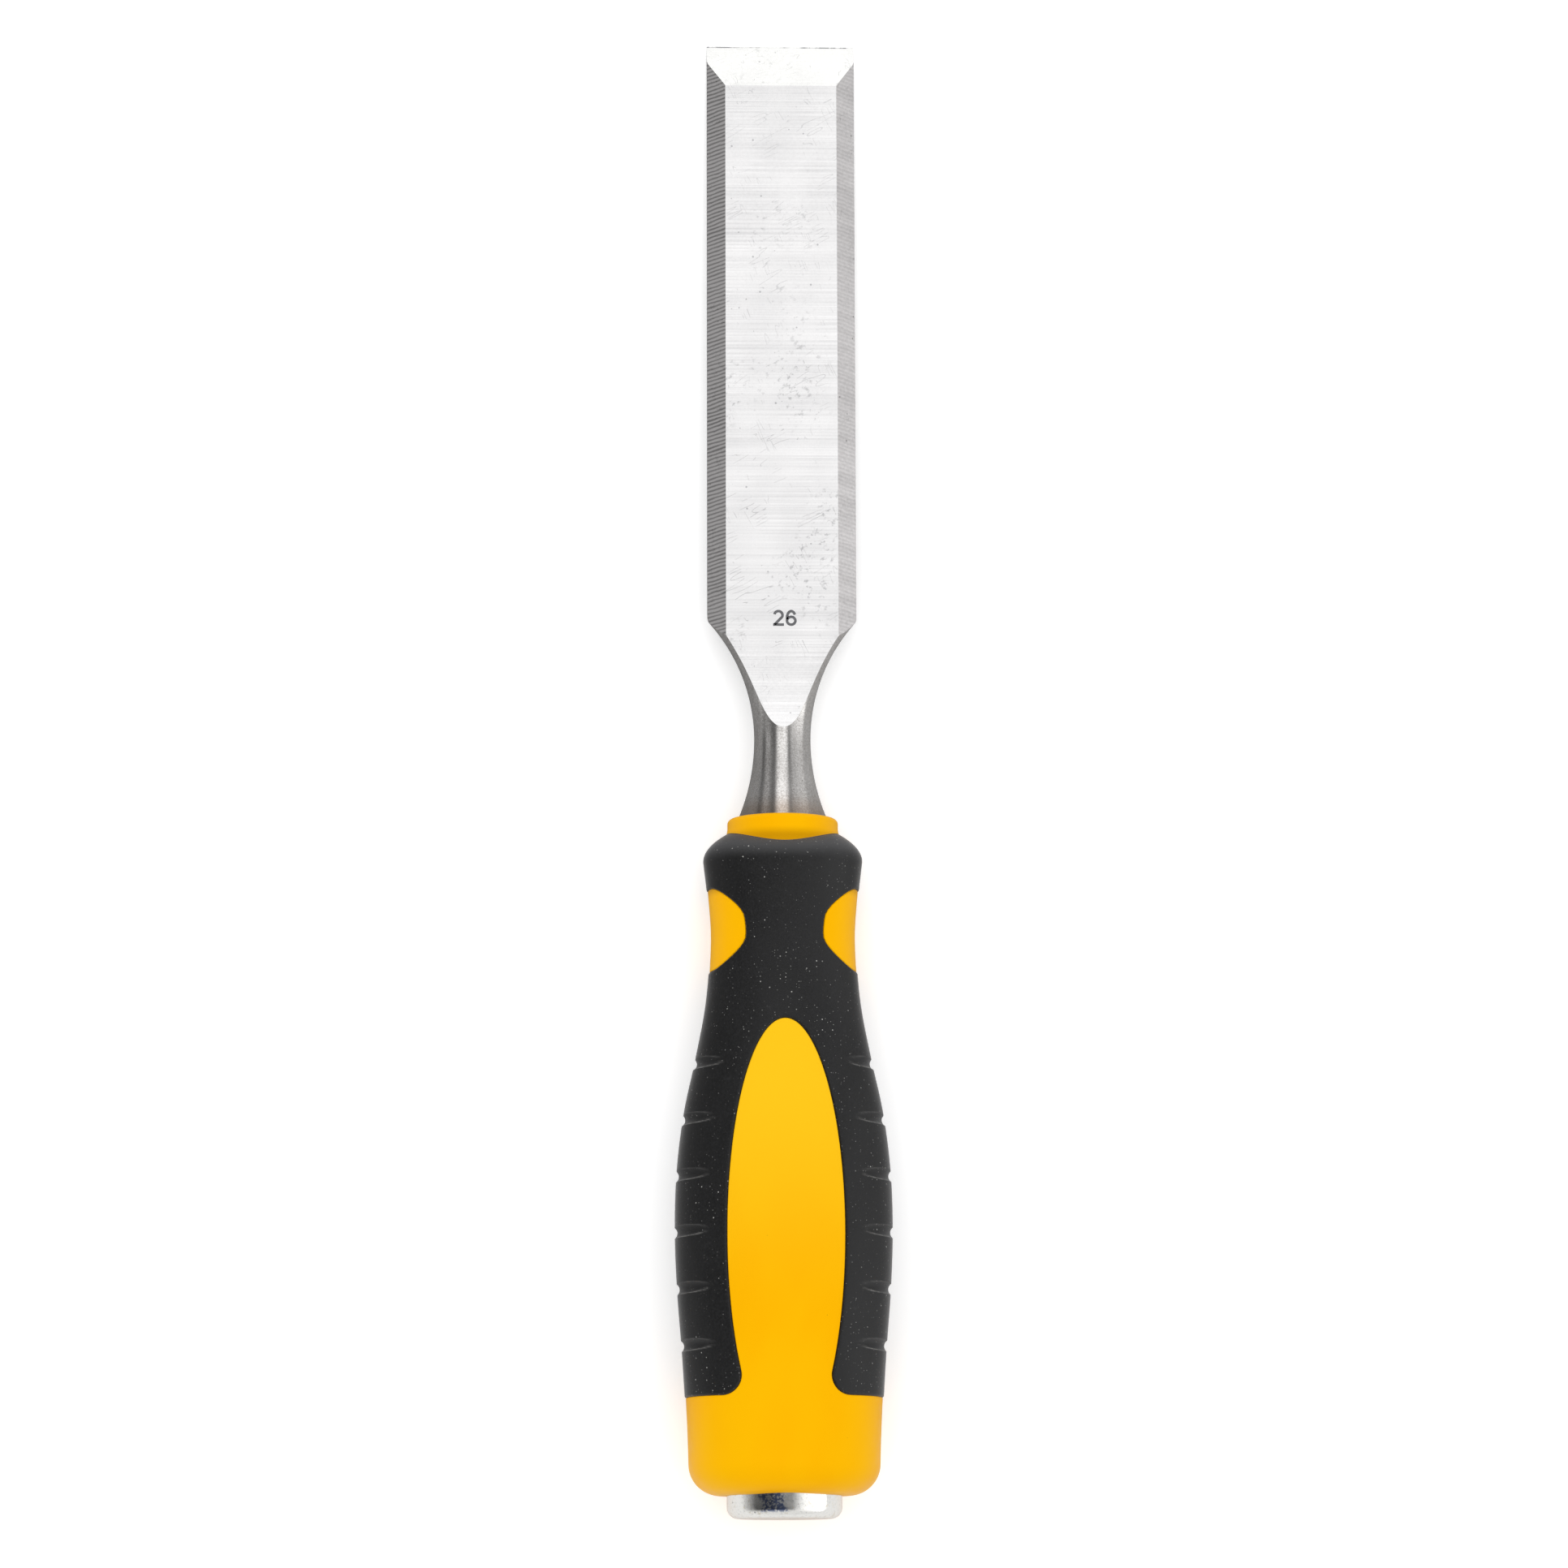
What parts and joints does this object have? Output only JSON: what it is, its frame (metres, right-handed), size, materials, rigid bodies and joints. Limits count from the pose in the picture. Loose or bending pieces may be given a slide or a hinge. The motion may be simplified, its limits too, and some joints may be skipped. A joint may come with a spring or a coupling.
{
  "type": "bench chisel",
  "caption": "Bevel-edge wood chisel with a forged steel blade, an oval two-tone plastic handle with soft grip and a steel strike cap on the heel.",
  "frame": {"origin": "centre of the strike face, on the tool's long axis", "axes": "+Y along the tool from the strike face to the cutting edge, +Z out of the bevelled face of the blade, +X to the right"},
  "size_m": [0.0374, 0.2591, 0.0286],
  "materials": {
    "blade_steel": "ground and lacquered carbon steel",
    "hard_plastic": "moulded polypropylene, satin gloss",
    "soft_plastic": "moulded thermoplastic elastomer, fine matt",
    "plated_steel": "bright zinc plating"
  },
  "bodies": {
    "root": {"blade": "blade_steel", "handle_core": "hard_plastic", "soft_grip": "soft_plastic", "strike_cap": "plated_steel"}
  },
  "joints": []
}
